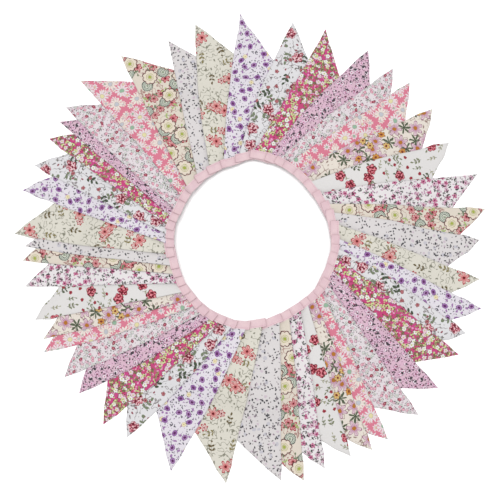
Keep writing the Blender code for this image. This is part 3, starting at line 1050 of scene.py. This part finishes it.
def make_tape_material(slot):
    """Pale pink folded cotton with a line of stitches near its mouth, and painted shade near its
    folds.
    """
    cloth = Cloth(slot, (0.950, 0.838, 0.856))
    cloth.mottle(9, (0.90, 0.77, 0.81), 0.5)
    parts = cloth.node("ShaderNodeSeparateXYZ", {0: cloth.place}).outputs
    across = cloth.absolute(cloth.minus(parts[1], TAPE_WIDTH - STITCHES_FROM_MOUTH))
    phase = cloth.math("FRACT", cloth.times(parts[0], 1.0 / STITCH_PITCH))
    end = cloth.minus(STITCH_HALF_SHARE, cloth.absolute(cloth.minus(phase, 0.5)))
    seam_line = cloth.mask(cloth.minus(THREAD_HALF_WIDTH, across), 0.0001)
    thread = cloth.times(seam_line, cloth.mask(end, 0.08))
    cloth.paint(thread, display(0.90, 0.72, 0.77))
    groove = cloth.mask(cloth.minus(GROOVE_HALF_WIDTH, across), 0.0005)
    # Painted shade: the tape darkens towards a deeper pink near its folds.
    fold = cloth.node("ShaderNodeAttribute", attribute_name="fold").outputs["Fac"]
    cloth.paint(cloth.times(fold, 0.40), display(0.80, 0.62, 0.66))
    height = cloth.times_plus(thread, THREAD_RELIEF, cloth.weave_height())
    return cloth.finish(cloth.times_plus(groove, -THREAD_RELIEF, height))


MATERIALS = {slot: make_print(slot) for slot in PRINTS}
MATERIALS["pink_bias_tape"] = make_tape_material("pink_bias_tape")

for index in range(FLAGS):
    node = f"flag_{index + 1:02d}"
    slot = NODE_SLOTS[node]
    piece = make_flag(index, MATERIALS[slot])
    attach(piece, "root")
    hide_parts(node)

tape, tape_length = make_tape(MATERIALS[NODE_SLOTS["binding_tape"]])
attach(tape, "root")
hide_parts("binding_tape")


def make_floor_material():
    """A smooth, nearly white table top."""
    material = bpy.data.materials.new("pale_floor")
    material.use_nodes = True
    tree = material.node_tree
    shader = tree.nodes["Principled BSDF"]
    shader.inputs["Roughness"].default_value = 0.95
    shader.inputs["Specular IOR Level"].default_value = 0.1
    noise = tree.nodes.new("ShaderNodeTexNoise")
    noise.inputs["Scale"].default_value = 3.0
    ramp = tree.nodes.new("ShaderNodeValToRGB")
    for element, shade in zip(ramp.color_ramp.elements, (0.945, 0.955)):
        element.color = (shade, shade, shade, 1.0)
    place = tree.nodes.new("ShaderNodeTexCoord")
    tree.links.new(place.outputs["Object"], noise.inputs["Vector"])
    tree.links.new(noise.outputs[0], ramp.inputs[0])
    tree.links.new(ramp.outputs[0], shader.inputs["Base Color"])
    return material


FLOOR_CORNERS = [(-6.0, -6.0, 0.0), (6.0, -6.0, 0.0), (6.0, 6.0, 0.0), (-6.0, 6.0, 0.0)]
FLOOR_DROP = 0.00005
floor_mesh = bpy.data.meshes.new("floor")
floor_mesh.from_pydata(FLOOR_CORNERS, [], [(0, 1, 2, 3)])
floor = bpy.data.objects.new("floor", floor_mesh)
floor.location = (0.0, 0.0, -FLOOR_DROP)
bpy.context.scene.collection.objects.link(floor)
floor_mesh.materials.append(make_floor_material())

STUDIO_STRENGTH = 0.80
world = bpy.data.worlds.new("studio")
world.use_nodes = True
background = world.node_tree.nodes["Background"]
background.inputs["Color"].default_value = (1.0, 1.0, 1.0, 1.0)
background.inputs["Strength"].default_value = STUDIO_STRENGTH
bpy.context.scene.world = world

# One soft light, high above the ring's middle and turned to it.
KEY_PLACE = Vector((-0.05, 0.05, 2.3))
KEY_SIZE = 0.7
KEY_POWER = 40.0
key_data = bpy.data.lights.new("key", "AREA")
key_data.shape = "SQUARE"
key_data.size = KEY_SIZE
key_data.energy = KEY_POWER
key = bpy.data.objects.new("key", key_data)
key.location = KEY_PLACE
key.rotation_euler = (-KEY_PLACE).to_track_quat("-Z", "Y").to_euler()
bpy.context.scene.collection.objects.link(key)

# The camera looks almost straight down, from a little below the photo's middle.
CAMERA_TARGET = (-0.0002, -0.0101, 0.0)
CAMERA_DISTANCE = 1.1385
CAMERA_TILT = math.radians(6.6)
CAMERA_LENS = 67.9
camera_data = bpy.data.cameras.new("camera")
camera_data.type = "PERSP"
camera_data.sensor_width = 36.0
camera_data.lens = CAMERA_LENS
camera = bpy.data.objects.new("camera", camera_data)
camera.location = (
    CAMERA_TARGET[0],
    CAMERA_TARGET[1] - CAMERA_DISTANCE * math.sin(CAMERA_TILT),
    CAMERA_DISTANCE * math.cos(CAMERA_TILT),
)
camera.rotation_euler = (CAMERA_TILT, 0.0, 0.0)
bpy.context.scene.collection.objects.link(camera)
bpy.context.scene.camera = camera

bpy.context.scene.view_settings.view_transform = "Standard"
